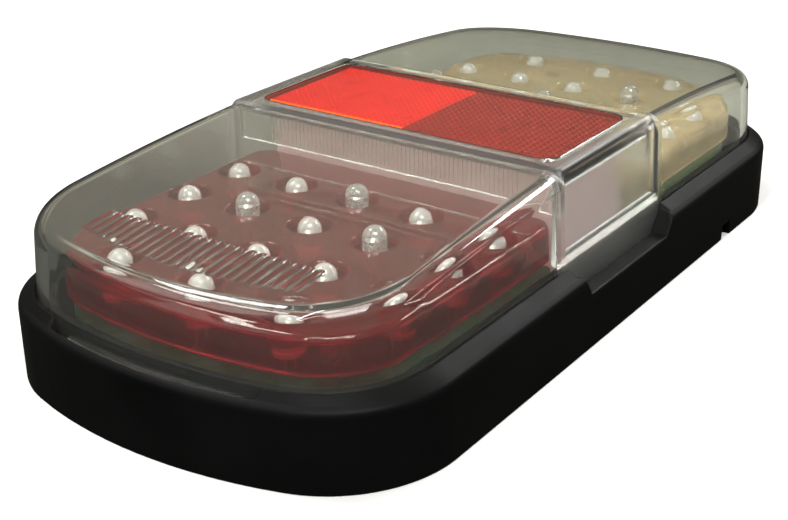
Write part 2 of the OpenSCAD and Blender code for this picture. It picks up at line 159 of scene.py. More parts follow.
PLACES = [on_grid(i, j) for i in range(3) for j in range(-2, 3)]
PLACES += [(LED_X0 + 3 * LED_PITCH, j * LED_ROW_Y) for j in range(-1, 2)]
STOP_PLACES = [on_grid(0, 0), on_grid(1, 1), on_grid(1, -1)]
RAISED_INDICATOR = [on_grid(1, 0), on_grid(1, 2), on_grid(2, -1)]
TRAY_POSTS = [on_grid(0.5, j) for j in (0.5, -0.5)]
TRAY_POSTS += [(LED_X0 + 2.5 * LED_PITCH, y) for y in (OUTER_POST_Y, -OUTER_POST_Y)]
BOARD_FIXINGS = [on_grid(i, j) for i in (-0.5, 2.5) for j in (1.5, -1.5)]


# ---- Mesh tools ----


def steps(start, stop, count):
    """Evenly spaced values from start to stop, both included."""
    return [start + (stop - start) * k / count for k in range(count + 1)]


def ramp(low, high, value):
    """0 below low and 1 above high, with a smooth rise between."""
    t = min(max((value - low) / (high - low), 0.0), 1.0)
    return t * t * (3 - 2 * t)


def mix(a, b, share):
    return a + (b - a) * share


def rounded(corners, count=4):
    """A path through corners given as (point, radius), each inner one rounded."""
    nearly_half = 0.49
    points = [Vector(p) for p, _ in corners]
    path = [points[0]]
    for before, at, after, (_, r) in zip(points, points[1:], points[2:], corners[1:]):
        a = at + (before - at).normalized() * min(r, (before - at).length * nearly_half)
        b = at + (after - at).normalized() * min(r, (after - at).length * nearly_half)
        for t in steps(0, 1, count):
            path.append(a * (1 - t) ** 2 + at * (2 * t * (1 - t)) + b * t * t)
    return path + [points[-1]]


def arc(x, y, r, angles, kind):
    """Stations along an arc with its centre at x, y, for angles in degrees."""
    found = []
    for w in angles:
        n = Vector((math.cos(math.radians(w)), math.sin(math.radians(w))))
        found.append(Station(Vector((x, y)) + n * r, n, kind))
    return found


def inward(station, inset, z):
    """The point at height z that lies inset in from a station."""
    p = station.point - station.normal * inset
    return Vector((p.x, p.y, z))


def loft(bm, paths):
    """Faces between paths that stand side by side in a closed ring. Gives each path's vertices."""
    columns = [[bm.verts.new(p) for p in path] for path in paths]
    for left, right in zip(columns, columns[1:] + columns[:1]):
        for k in range(len(left) - 1):
            bm.faces.new((left[k], right[k], right[k + 1], left[k + 1]))
    return columns


def turns(count):
    """The angles of one full turn, in radians."""
    return [2 * math.pi * i / count for i in range(count)]


def lathe(bm, x, y, path, count=40):
    """A closed ring of a path of (radius, z) points turned about the upright line at x, y."""
    return loft(bm, [
        [(x + r * math.cos(w), y + r * math.sin(w), z) for r, z in path] for w in turns(count)
    ])


def cap_ends(bm, columns):
    """Closes a ring of paths with a face through their starts and one through their ends."""
    bm.faces.new([c[0] for c in columns])
    bm.faces.new([c[-1] for c in columns])


def turned_solid(bm, x, y, path, count=40):
    """A lathe path closed by a cap at both ends."""
    cap_ends(bm, lathe(bm, x, y, path, count))


def post(bm, x, y, r, low, high):
    """A round post with a rounded top edge."""
    turned_solid(bm, x, y, turned([(r, low, 0), (r, high, EDGE_R), (r - 2 * EDGE_R, high, 0)]))


def turned(corners, count=3):
    """The (radius, z) points of a lathe path with its corners rounded, from (radius, z, round)."""
    path = rounded([((r, z, 0), edge) for r, z, edge in corners], count)
    return [(p.x, p.y) for p in path]


def rim_edges(bm, columns, index):
    """The edges round a lofted ring at one index of its paths."""
    ring = [c[index] for c in columns]
    return [bm.edges.get((a, b)) for a, b in zip(ring, ring[1:] + ring[:1])]


def fill(bm, *edge_rings):
    """A flat plate inside the first ring of edges, with a hole at each other ring."""
    edges = [e for ring in edge_rings for e in ring if e is not None]
    bmesh.ops.triangle_fill(bm, use_beauty=True, use_dissolve=False, edges=edges)


def roof(bm, ring, height, spans):
    """A surface, whose height follows x, over a ring that starts on X and mirrors itself in it."""
    half = len(ring) // 2
    columns = [[ring[0]]]
    for i in range(1, half):
        top, foot = ring[i], ring[-i]
        inner = [Vector((top.co.x, top.co.y * (1 - 2 * k / spans), 0)) for k in range(1, spans)]
        inner = [bm.verts.new((p.x, p.y, height(p.x))) for p in inner]
        columns.append([top, *inner, foot])
    columns.append([ring[half]])
    for left, right in zip(columns, columns[1:]):
        for k in range(spans):
            corners = []
            for v in (left[min(k, len(left) - 1)], left[min(k + 1, len(left) - 1)],
                      right[min(k + 1, len(right) - 1)], right[min(k, len(right) - 1)]):
                if v not in corners:
                    corners.append(v)
            bm.faces.new(corners)


def block(bm, low, high, edge=0.0):
    """A box between two corners, with its edges rounded by a bevel."""
    made = bmesh.ops.create_cube(bm, size=1)["verts"]
    for v in made:
        share = v.co + Vector((0.5, 0.5, 0.5))
        v.co = Vector(mix(l, h, s) for l, h, s in zip(low, high, share))
    if edge:
        edges = list({e for v in made for e in v.link_edges})
        bmesh.ops.bevel(bm, geom=edges, offset=edge, segments=2, profile=0.5, affect="EDGES")


def piece(name, bm, smooth=SMOOTH_ANGLE):
    """Turns a mesh in millimetres into a piece in metres, smooth up to an angle."""
    bmesh.ops.remove_doubles(bm, verts=bm.verts, dist=MERGE)
    bmesh.ops.dissolve_degenerate(bm, edges=bm.edges, dist=MERGE / 4)
    bmesh.ops.recalc_face_normals(bm, faces=bm.faces)
    bmesh.ops.scale(bm, vec=(MM, MM, MM), verts=bm.verts)
    mesh = bpy.data.meshes.new(name)
    bm.to_mesh(mesh)
    bm.free()
    obj = bpy.data.objects.new(name, mesh)
    bpy.context.scene.collection.objects.link(obj)
    shade(obj, smooth)
    return obj


def shade(obj, smooth=SMOOTH_ANGLE):
    obj.data.shade_smooth()
    obj.data.set_sharp_from_angle(angle=smooth)


def combine(obj, tool, operation):
    """Joins a tool piece to obj or cuts it away for good, and removes the tool."""
    modifier = obj.modifiers.new(operation.lower(), "BOOLEAN")
    modifier.operation = operation
    modifier.solver = "EXACT"
    modifier.object = tool
    bpy.context.view_layer.update()
    made = obj.evaluated_get(bpy.context.evaluated_depsgraph_get())
    result = bpy.data.meshes.new_from_object(made)
    obj.modifiers.clear()
    drop_slivers(result)
    obj.data = result
    bpy.data.objects.remove(tool)
    shade(obj)


def drop_slivers(mesh):
    """Clears away the faces without area that a boolean can leave."""
    bm = bmesh.new()
    bm.from_mesh(mesh)
    bmesh.ops.remove_doubles(bm, verts=bm.verts, dist=MERGE * MM)
    many_sided = [f for f in bm.faces if len(f.verts) > 4]
    bmesh.ops.triangulate(bm, faces=many_sided, ngon_method="BEAUTY")
    bmesh.ops.dissolve_degenerate(bm, edges=bm.edges, dist=MERGE * MM)
    bm.to_mesh(mesh)
    bm.free()


def even_normals(obj):
    """Keeps flat faces flat beside the rounds that run into them. Gives the object back."""
    modifier = obj.modifiers.new("even normals", "WEIGHTED_NORMAL")
    modifier.keep_sharp = True
    modifier.weight = 60
    return obj


# ---- Plan outlines ----

# Stations stand closer together at the tab, the notches, the drain cut and the bridge's step
TAB_YS = [TAB_HALF + s for s in (-0.6, -0.3, 0, 0.3, 0.6)]
NOTCH_YS = [END_NOTCH_HALF + s for s in (-0.6, 0, 0.6, 1.2, 1.8, 2.4, 2.9)]
DRAIN_XS = [DRAIN_X + s for s in (2.9, 2.6, 2.5, 2.4, 0, -2.4, -2.5, -2.6, -2.9)]
STEP_XS = [BRIDGE_HALF + s for s in (2.5, 2.2, 1.9, 1.4, 1, 0.6, 0.3, 0.15, 0, -0.15, -0.3)]
SLOPE_XS = [SIDE_NOTCH_HALF + s for s in (2.4, 1.8, 1.2, 0.6, 0, -0.6)]
END_YS = [0, 4, 8, 12, 16, 19, *TAB_YS, *NOTCH_YS]
SIDE_XS = [69, 64, 59, *DRAIN_XS, 46, 40, 34, 28, 24, *STEP_XS, *SLOPE_XS, 14, 9, 4, 0]
CORNER_START = 17.5


def quarter(a, b, re, rc):
    """Stations from the middle of the end round the corner to the middle of the long side."""
    cx = a - re
    xc = cx + math.sqrt((re - rc) ** 2 - (b - rc) ** 2)
    ends = arc(cx, 0, re, [math.degrees(math.asin(y / re)) for y in END_YS], "end")
    corner = arc(xc, b - rc, rc, steps(CORNER_START, 90, 24), "corner")
    side = [Station(Vector((x, b)), Vector((0, 1)), "side") for x in SIDE_XS]
    return ends + corner + side


def mirrored(stations, sx, sy):
    sign = Vector((sx, sy))
    return [Station(s.point * sign, s.normal * sign, s.kind) for s in stations]


def whole(first):
    """The full ring from its first quarter, from the end at +X round by +Y."""
    back = first[::-1]
    return (
        first
        + mirrored(back, -1, 1)[1:]
        + mirrored(first, -1, -1)[1:]
        + mirrored(back, 1, -1)[1:-1]
    )


BASE_RING = whole(quarter(BASE_HIGH.x, BASE_HIGH.y, BASE_END_R, BASE_CORNER_R))
LENS_RING = whole(quarter(LENS_A, LENS_HIGH.y, LENS_END_R, LENS_CORNER_R))


def tray_ring(side):
    """Stations round one tray: the bowed outer end, the sides and the straight inner end."""
    cx = TRAY_HIGH.x - TRAY_END_R
    b = TRAY_HIGH.y
    xc = cx + math.sqrt((TRAY_END_R - TRAY_CORNER_R) ** 2 - (b - TRAY_CORNER_R) ** 2)
    turn = math.degrees(math.atan2(b - TRAY_CORNER_R, xc - cx))
    inner = TRAY_LOW.x + TRAY_INNER_R
    half = (
        arc(cx, 0, TRAY_END_R, steps(0, turn, 12), "end")
        + arc(xc, b - TRAY_CORNER_R, TRAY_CORNER_R, steps(turn, 90, 20)[1:], "corner")
        + [Station(Vector((x, b)), Vector((0, 1)), "side") for x in steps(xc, inner, 8)[1:-1]]
        + arc(inner, b - TRAY_INNER_R, TRAY_INNER_R, steps(90, 180, 10), "corner")
        + [Station(Vector((TRAY_LOW.x, 0)), Vector((-1, 0)), "end")]
    )
    ring = half + mirrored(half[::-1], 1, -1)[1:-1]
    return mirrored(ring, side, 1)


# ---- Housing ----


def notch_limit(station):
    """How high the housing may stand at a station, outside the lip and inside it."""
    if station.kind == "side":
        over = max(0.0, abs(station.point.x) - SIDE_NOTCH_HALF)
        z = SIDE_NOTCH_Z + over * SIDE_NOTCH_SLOPE
        return z, z
    if station.kind == "end":
        over = max(0.0, abs(station.point.y) - END_NOTCH_HALF)
        return RIM_TOP_Z, END_NOTCH_Z + over * END_NOTCH_SLOPE
    return RIM_TOP_Z, RIM_TOP_Z


def drained(station):
    """1 where the drain cut runs under the wall: on one side at +X and on the other at -X."""
    x, y = station.point
    if station.kind != "side" or x * y > 0:
        return 0
    return 1 - ramp(DRAIN_HALF - DRAIN_BLEND, DRAIN_HALF + DRAIN_BLEND, abs(abs(x) - DRAIN_X))


def housing_path(base, lens):
    """From under the floor round the wall and the rim, and down inside to the floor again."""
    outer_z, inner_z = notch_limit(base)
    edge_z = min(RIM_EDGE_Z, outer_z)
    lip_share = END_LIP / (BASE_HIGH.x - LENS_A - WALL_GAP)
    lip_z = min(mix(RIM_EDGE_Z, RIM_TOP_Z, lip_share), outer_z)
    lift = DRAIN_H * drained(base)
    seal_z = SEAL_HIGH.z
    return rounded([
        (inward(base, SEAL_IN, 0), 0),
        (inward(base, SEAL_IN, seal_z), CRISP_R),
        (inward(base, SEAL_OUT, seal_z), CRISP_R),
        (inward(base, SEAL_OUT, 0), SOFT_R),
        (inward(base, DRAIN_DEPTH, 0), CRISP_R),
        (inward(base, DRAIN_DEPTH, lift), CRISP_R),
        (inward(base, 0, lift), FOOT_R),
        (inward(base, 0, edge_z), RIM_R),
        (inward(base, END_LIP, lip_z), LIP_R),
        (inward(base, END_LIP, min(lip_z, inner_z)), EDGE_R),
        (inward(lens, -WALL_GAP, min(RIM_TOP_Z, inner_z)), MOUTH_R),
        (inward(lens, -WALL_GAP, FLOOR_Z), EDGE_R),
        (inward(lens, RIB_OUT, FLOOR_Z), EDGE_R),
        (inward(lens, RIB_OUT, RIB_Z), EDGE_R),
        (inward(lens, RIB_IN, RIB_Z), EDGE_R),
        (inward(lens, RIB_IN, FLOOR_Z), EDGE_R),
        (inward(lens, RIB_IN + 1, FLOOR_Z), 0),
    ])


def bosses():
    """The posts on the housing's floor: for the boards, the inserts and the carrier."""
    bm = bmesh.new()
    sunk = FLOOR_Z / 2
    for side in (-1, 1):
        for x, y in BOARD_FIXINGS:
            post(bm, side * x, y, BOSS_R, sunk, BOARD_LOW.z)
        post(bm, side * INSERT_X, 0, INSERT_BOSS_R, sunk, INSERT_BOSS_Z)
        post(bm, 0, side * WELL_Y, BOSS_R, sunk, WELL_Z - CARRIER_T)
    return piece("bosses", bm)


def drilled():
    """The holes in the housing: pilot holes, insert seats and the grommet's seat."""
    bm = bmesh.new()
    for side in (-1, 1):
        for x, y in BOARD_FIXINGS:
            post(bm, side * x, y, PILOT_R, FLOOR_Z, PILOT_TOP_Z)
        post(bm, side * INSERT_X, 0, INSERT_R, -THROUGH, INSERT_HIGH.z)
        post(bm, 0, side * WELL_Y, PILOT_R, FLOOR_Z, PILOT_TOP_Z)
    seat = turned([
        (GROMMET_FLANGE_R, -THROUGH, 0),
        (GROMMET_FLANGE_R, GROMMET_STEP_Z, CRISP_R / 2),
        (GROMMET_R, GROMMET_STEP_Z, CRISP_R / 2),
        (GROMMET_R, FLOOR_Z + THROUGH, 0),
    ])
    turned_solid(bm, 0, (GROMMET_LOW.y + GROMMET_HIGH.y) / 2, seat)
    return piece("drilled", bm)


def make_housing():
    bm = bmesh.new()
    cap_ends(bm, loft(bm, [housing_path(b, l) for b, l in zip(BASE_RING, LENS_RING)]))
    housing = piece("housing", bm)
    combine(housing, bosses(), "UNION")
    combine(housing, drilled(), "DIFFERENCE")
    return even_normals(housing)


# ---- Lens ----


def crown(x):
    """The height of the lens top outside the bridge."""
    return CROWN_Z - x * x / (2 * CROWN_R)


def in_bridge(x, half=BRIDGE_HALF, blend=STEP_BLEND):
    """1 inside the bridge and 0 outside it, along the lamp."""
    return 1 - ramp(half - blend, half + blend, abs(x))


def lens_wall(station, side_in, tab, spring_x, inset, bridge_arc, wall_t):
    """One skin of the lens from its foot to its top, wall_t in from the outer one."""
    r = SHOULDER_R - wall_t
    spring = crown(spring_x) - SHOULDER_R
    bridge_x, bridge_z, bridge_r = bridge_arc
    share = side_in / BRIDGE_IN
    curve = []
    for w in steps(0, 90, 9):
        across, up = math.cos(math.radians(w)), math.sin(math.radians(w))
        plain = (inset - r * across, spring + r * up)
        bridged = (bridge_x - bridge_r * across, bridge_z - bridge_r + bridge_r * up)
        curve.append((mix(plain[0], bridged[0], share), mix(plain[1], bridged[1], share)))
    ledge_z = RECESS_Z - wall_t
    lean = DRAFT * (ledge_z - SKIRT_Z) / (spring - SKIRT_Z)
    wall = mix(wall_t + lean, wall_t + BRIDGE_IN, share)
    corners = [
        ((wall_t, LENS_FOOT_Z), 0),
        ((wall_t, TAB_LOW_Z), CRISP_R),
        ((wall_t - tab, TAB_LOW_Z), EDGE_R),
        ((wall_t - tab, TAB_HIGH_Z), EDGE_R),
        ((wall_t, TAB_HIGH_Z), CRISP_R),
        ((wall_t, SKIRT_Z), EDGE_R),
        ((wall_t + lean, ledge_z), LEDGE_R),
        ((wall, ledge_z), LEDGE_R),
        (curve[0], 0),
    ]
    path = rounded([(inward(station, across, z), r) for (across, z), r in corners], count=3)
    return path + [inward(station, across, z) for across, z in curve[1:]]


def lens_path(station):
    """Down the inner skin of the lens from its top, round the foot and up the outer skin."""
    x, y = station.point
    on_side = station.kind == "side"
    outer_in = BRIDGE_IN * in_bridge(x) if on_side else 0.0
    inner_in = BRIDGE_IN * in_bridge(x, BRIDGE_HALF + LENS_T) if on_side else 0.0
    tab = PRY_TAB * in_bridge(y, TAB_HALF) if station.kind == "end" else 0.0
    centre = DRAFT + SHOULDER_R
    spring_x = station.point.x - station.normal.x * centre
    outer_edge = (BRIDGE_IN + BRIDGE_EDGE_R, BRIDGE_Z, BRIDGE_EDGE_R)
    outer = lens_wall(station, outer_in, tab, spring_x, centre, outer_edge, 0)
    slab = mix(crown(spring_x) - LENS_T, SLAB_Z, in_bridge(x, blend=SLAB_BLEND))
    inner_edge = (BRIDGE_IN + LENS_T + LEDGE_R, slab, LEDGE_R)
    inner = lens_wall(station, inner_in, 0, spring_x, centre, inner_edge, LENS_T)
    return inner[::-1] + outer


def flute_bars():
    """Round bars under the top of the lens at the tail end, which overlap it."""
    bm = bmesh.new()
    for i in range(FLUTES):
        y = (i - (FLUTES - 1) / 2) * FLUTE_PITCH
        start = LENS_END_R - LENS_A - math.sqrt(FLUTE_END_R ** 2 - y * y)
        along = [(start + s, share) for s, share in FLUTE_NOSE]
        along += [(FLUTE_STOP_X - s, share) for s, share in FLUTE_NOSE[::-1]]
        paths = []
        for w in turns(FLUTE_SIDES):
            across, up = FLUTE_R * math.cos(w), FLUTE_R * math.sin(w)
            paths.append([
                (x, y + across * share, crown(x) - LENS_T + FLUTE_SINK + up * share)
                for x, share in along
            ])
        cap_ends(bm, loft(bm, paths))
    return piece("flutes", bm)


def rect_ring(half_x, half_y, r, count=8):
    """Stations round a rectangle with rounded corners."""
    half = (
        [Station(Vector((half_x, 0)), Vector((1, 0)), "end")]
        + arc(half_x - r, half_y - r, r, steps(0, 90, count), "corner")
        + [Station(Vector((0, half_y)), Vector((0, 1)), "side")]
    )
    return whole(half)


def pocket():
    """The hollow in the top of the bridge for the reflector and its backing."""
    half_x, half_y = REFLECTOR_HIGH.x + POCKET_GAP, REFLECTOR_HIGH.y + POCKET_GAP
    bm = bmesh.new()
    cap_ends(bm, loft(bm, [
        [inward(s, 0, BACK_LOW.z), inward(s, 0, BRIDGE_Z + 2 * THROUGH)]
        for s in rect_ring(half_x, half_y, REFLECTOR_R + POCKET_GAP)
    ]))
    return piece("pocket", bm)


def bridge_skirt():
    """The two walls that hang under the ends of the bridge, from one recess wall to the other."""
    bm = bmesh.new()
    half_y = RECESS_Y - LENS_T + OVERLAP
    middle = BRIDGE_HALF - BRIDGE_SKIRT_T / 2
    for side in (-1, 1):
        low = (side * middle - BRIDGE_SKIRT_T / 2, -half_y, BRIDGE_SKIRT_Z)
        high = (side * middle + BRIDGE_SKIRT_T / 2, half_y, SKIRT_TOP_Z)
        block(bm, low, high, EDGE_R)
    return piece("skirt", bm)


def skirt_ribs():
    """Fine upright ribs on the walls under the bridge, on their sides that face each other."""
    bm = bmesh.new()
    count = int(SKIRT_RIB_HALF / SKIRT_RIB_PITCH)
    centre = BRIDGE_HALF - BRIDGE_SKIRT_T - SKIRT_RIB_OUT + SKIRT_RIB_R
    path = [(SKIRT_RIB_R / 2, SKIRT_RIB_TIP_Z), (SKIRT_RIB_R, SKIRT_RIB_FULL_Z),
            (SKIRT_RIB_R, SKIRT_RIB_TOP_Z)]
    for side in (-1, 1):
        for k in range(-count, count + 1):
            turned_solid(bm, side * centre, k * SKIRT_RIB_PITCH, path, count=12)
    return piece("ribs", bm)


def top_height(x):
    """The top of the lens, with the bridge."""
    return mix(crown(x), BRIDGE_Z, in_bridge(x))


def slab_height(x):
    """The underside of the lens top, with the thicker slab in the bridge."""
    return mix(crown(x) - LENS_T, SLAB_Z, in_bridge(x, blend=SLAB_BLEND))


def make_lens():
    bm = bmesh.new()
    columns = loft(bm, [lens_path(s) for s in LENS_RING])
    roof(bm, [c[-1] for c in columns], top_height, ROOF_SPANS)
    roof(bm, [c[0] for c in columns], slab_height, ROOF_SPANS)
    lens = piece("lens", bm)
    combine(lens, bridge_skirt(), "UNION")
    combine(lens, skirt_ribs(), "UNION")
    combine(lens, flute_bars(), "UNION")
    combine(lens, pocket(), "DIFFERENCE")
    return even_normals(lens)


# ---- Reflector ----


def make_reflector():
    """The clear red plate on top, with a rounded edge all round."""
    bm = bmesh.new()
    top = REFLECTOR_HIGH.z
    low = top - PLATE_T
    columns = loft(bm, [rounded([
        (inward(s, PLATE_BORDER, low), 0),
        (inward(s, 0, low), CRISP_R),
        (inward(s, 0, top), EDGE_R),
        (inward(s, PLATE_BORDER, top), 0),
    ]) for s in rect_ring(REFLECTOR_HIGH.x, REFLECTOR_HIGH.y, REFLECTOR_R)])
    roof(bm, [c[-1] for c in columns], lambda x: top, spans=2)
    roof(bm, [c[0] for c in columns], lambda x: low, spans=2)
    return piece("reflector_plate", bm)


def make_rim():
    """The border round the cells, under the plate, which takes the painted shade of the near
    cells.
    """
    bm = bmesh.new()
    low, top = REFLECTOR_LOW.z, REFLECTOR_HIGH.z - PLATE_T - PLATE_GAP
    loft(bm, [rounded([
        (inward(s, CELL_EDGE, low), 0),
        (inward(s, 0, low), CRISP_R),
        (inward(s, 0, top), BORDER_EDGE_R),
        (inward(s, CELL_EDGE, top), BORDER_EDGE_R),
        (inward(s, CELL_EDGE, low), 0),
    ]) for s in rect_ring(REFLECTOR_HIGH.x, REFLECTOR_HIGH.y, REFLECTOR_R)])
    return piece("reflector_rim", bm)


def make_cells(name, y_side, first, last):
    """Rows of small pyramids on a solid base, for one half of the reflector or a part of it."""
    bm = bmesh.new()
    low, foot = REFLECTOR_LOW.z, REFLECTOR_HIGH.z - PLATE_T - CELL_GAP - CELL_H
    half_x = REFLECTOR_HIGH.x - CELL_EDGE
    across = int(2 * half_x / CELL)
    along = int((REFLECTOR_HIGH.y - CELL_EDGE) / CELL)
    x0 = -across * CELL / 2
    y_lines = [y_side * (k * CELL + CELL_SPLIT) for k in range(along + 1)]
    x_lines = [x0 + k * CELL for k in range(across + 1)][first:last]
    grid = [[bm.verts.new((x, y, foot)) for y in y_lines] for x in x_lines]
    for i in range(len(x_lines) - 1):
        for j in range(along):
            square = (grid[i][j], grid[i + 1][j], grid[i + 1][j + 1], grid[i][j + 1])
            middle = (x_lines[i] + CELL / 2, y_lines[j] + y_side * CELL / 2)
            tip = bm.verts.new((*middle, foot + CELL_H))
            for a, b in zip(square, square[1:] + square[:1]):
                bm.faces.new((a, b, tip))
    border = [e for e in bm.edges if e.is_boundary]
    walls = bmesh.ops.extrude_edge_only(bm, edges=border)["geom"]
    floor = [v for v in walls if isinstance(v, bmesh.types.BMVert)]
    for v in floor:
        v.co.z = low
    fill(bm, [e for e in bm.edges if e.is_boundary])
    return piece(name, bm, CELL_ANGLE)


# ---- Trays ----


def tray_fittings(side):
    """The outsides of the cups and the posts on the board, which start inside the plate."""
    bm = bmesh.new()
    start = TRAY_TOP_Z - TRAY_T + OVERLAP
    share = (start - CUP_FOOT_Z) / (TRAY_TOP_Z - CUP_FOOT_Z)
    foot_r, top_r = CUP_FOOT_R + CUP_WALL, mix(CUP_FOOT_R, CUP_TOP_R, share) + CUP_WALL
    cup = turned([(foot_r / 2, CUP_FOOT_Z, 0), (foot_r, CUP_FOOT_Z, SOFT_R), (top_r, start, 0),
                  (top_r / 2, start, 0)])
    peg_z = BOARD_LOW.z - PEG_OUT
    peg = turned([(POST_R / 2, start, 0), (POST_R, start, 0), (POST_R, BOARD_HIGH.z, SOFT_R),
                  (PEG_R, BOARD_HIGH.z, CRISP_R), (PEG_R, peg_z, SOFT_R), (PEG_R / 2, peg_z, 0)])
    for x, y in PLACES:
        turned_solid(bm, side * x, y, cup, CUP_SIDES)
    for x, y in TRAY_POSTS:
        turned_solid(bm, side * x, y, peg, PEG_SIDES)
    return piece("fittings", bm)


def cup_hollows(side):
    """The insides of the cups, with a rounded mouth, right through the tray."""
    bm = bmesh.new()
    slope = (CUP_TOP_R - CUP_FOOT_R) / (TRAY_TOP_Z - CUP_FOOT_Z)
    mouth_z, mouth_r = TRAY_TOP_Z + MOUTH_LIFT, CUP_TOP_R + 2 * CUP_ROUND
    hollow = turned([
        (CUP_FOOT_R - slope * THROUGH, CUP_FOOT_Z - THROUGH, 0),
        (CUP_TOP_R, mouth_z, 2 * CUP_ROUND),
        (mouth_r, mouth_z, 0),
        (mouth_r, mouth_z + 2 * THROUGH, 0),
    ], count=5)
    for x, y in PLACES:
        turned_solid(bm, side * x, y, hollow, CUP_SIDES)
    return piece("hollows", bm)


def make_tray(name, side):
    """A plate with walls down to its foot, and a cup through it for each LED."""
    bm = bmesh.new()
    plate_z = TRAY_TOP_Z - TRAY_T
    walls = loft(bm, [rounded([
        (inward(s, TRAY_T + TRAY_LEDGE, plate_z), 0),
        (inward(s, TRAY_T, plate_z), TRAY_LEDGE_R),
        (inward(s, TRAY_T, TRAY_FOOT_Z), EDGE_R),
        (inward(s, 0, TRAY_FOOT_Z), EDGE_R),
        (inward(s, TRAY_LEAN, TRAY_TOP_Z), TRAY_EDGE_R),
        (inward(s, TRAY_EDGE_R + TRAY_TOP_IN, TRAY_TOP_Z), 0),
    ], count=6) for s in tray_ring(side)])
    fill(bm, rim_edges(bm, walls, -1))
    fill(bm, rim_edges(bm, walls, 0))
    tray = piece(name, bm)
    combine(tray, tray_fittings(side), "UNION")
    combine(tray, cup_hollows(side), "DIFFERENCE")
    return even_normals(tray)


# ---- Carrier ----


def carrier_at(station, inset, z):
    """A point on the carrier's wall, whose long ends lean in towards the top."""
    p = inward(station, inset, z)
    if abs(p.y) > 1:
        lean = CARRIER_HIGH.y - CARRIER_TOP_Y
        p.y -= math.copysign(lean * (z - CARRIER_LOW.z) / (CARRIER_HIGH.z - CARRIER_LOW.z), p.y)
    return p


def carrier_wall(station):
    """Down the inside of the carrier's wall and up its outside to the top."""
    foot_z, top_z = CARRIER_LOW.z, CARRIER_HIGH.z
    under_z = top_z - CARRIER_T
    return rounded([
        (carrier_at(station, CARRIER_T + 1, under_z), 0),
        (carrier_at(station, CARRIER_T, under_z), CARRIER_INNER_R),
        (carrier_at(station, CARRIER_T, foot_z), SOFT_R),
        (carrier_at(station, 0, foot_z), EDGE_R),
        (carrier_at(station, 0, top_z), CARRIER_EDGE_R),
        (carrier_at(station, CARRIER_TOP_IN, top_z), 0),
    ])


def screw_well():
    """Down a screw well from the top, through the hole in its floor and up its outside."""
    top_z, under_z = CARRIER_HIGH.z, CARRIER_HIGH.z - CARRIER_T
    outer_r = WELL_R + WELL_WALL
    return turned([
        (WELL_R + WELL_LAND, top_z, 0),
        (WELL_R, top_z, CARRIER_INNER_R),
        (WELL_R, WELL_Z, SOFT_R),
        (SCREW_HOLE_R, WELL_Z, SOFT_R),
        (SCREW_HOLE_R, WELL_Z - CARRIER_T, CRISP_R),
        (outer_r, WELL_Z - CARRIER_T, SOFT_R),
        (outer_r, under_z, EDGE_R),
        (outer_r + WELL_LAND, under_z, 0),
    ])


def make_carrier():
    bm = bmesh.new()
    ring = rect_ring(CARRIER_HIGH.x, CARRIER_HIGH.y, CARRIER_CORNER_R)
    walls = loft(bm, [carrier_wall(s) for s in ring])
    wells = [lathe(bm, 0, side * WELL_Y, screw_well()) for side in (-1, 1)]
    fill(bm, rim_edges(bm, walls, -1), *[rim_edges(bm, w, 0) for w in wells])
    fill(bm, rim_edges(bm, walls, 0), *[rim_edges(bm, w, -1) for w in wells])
    return even_normals(piece("carrier", bm))


# ---- LEDs ----


def led_dome(bm, x, y, low):
    """The clear epoxy body: a flange, a straight stretch and a round end."""
    shoulder = low + LED_H - LED_R
    path = turned([
        (LED_CORE_R, low, 0),
        (FLANGE_R, low, CRISP_R),
        (FLANGE_R, low + FLANGE_H, FLANGE_EDGE_R),
        (LED_R, low + FLANGE_H, CRISP_R),
        (LED_R, shoulder, 0),
    ], count=2)
    path += [(LED_R * math.cos(math.radians(w)), shoulder + LED_R * math.sin(math.radians(w)))
             for w in steps(0, LED_TIP_W, 10)[1:]]
    turned_solid(bm, x, y, path, count=32)


def led_frame(bm, x, y, low):
    """The metal inside an LED: a cup for the chip on one leg, and a second leg beside it."""
    cup_z = low + LEAD_CUP_Z
    path = turned([(r, cup_z + z, edge) for r, z, edge in LEAD_CUP], count=2)
    turned_solid(bm, x + LEAD_CUP_X, y, path, count=24)
    left, right = x - LEAD_HALF, x + LEAD_HALF
    front, back = y - LEAD_HALF, y + LEAD_HALF
    for leg_x, top in ((-LEAD_X, cup_z), (LEAD_X, cup_z + 1)):
        corner = (left + leg_x, front, BOARD_HIGH.z)
        block(bm, corner, (right + leg_x, back, top), LEAD_EDGE_R)
    for (low_x, low_z), (high_x, high_z) in LEAD_BARS:
        corner = (x + low_x, front, cup_z + low_z)
        block(bm, corner, (x + high_x, back, cup_z + high_z), LEAD_EDGE_R)


def make_leds(name, places):
    """The epoxy bodies and the metal inside them, for places given as x, y and the top."""
    domes, frames = bmesh.new(), bmesh.new()
    for x, y, high in places:
        led_dome(domes, x, y, high - LED_H)
        led_frame(frames, x, y, high - LED_H)
    return piece(name + "_bodies", domes), piece(name + "_frames", frames)


def led_groups():
    """Each group's name and places, and whether its LEDs are the raised clear kind."""
    low, high = LED_HIGH.z, STOP_HIGH.z
    tail = [(-x, y, low) for x, y in PLACES if (x, y) not in STOP_PLACES]
    plain = [(x, y, low) for x, y in PLACES if (x, y) not in RAISED_INDICATOR]
    return [
        ("tail_leds", tail, False),
        ("stop_leds", [(-x, y, high) for x, y in STOP_PLACES], True),
        ("indicator_leds", plain, False),
        ("raised_indicator_leds", [(x, y, high) for x, y in RAISED_INDICATOR], True),
    ]


# ---- Materials ----

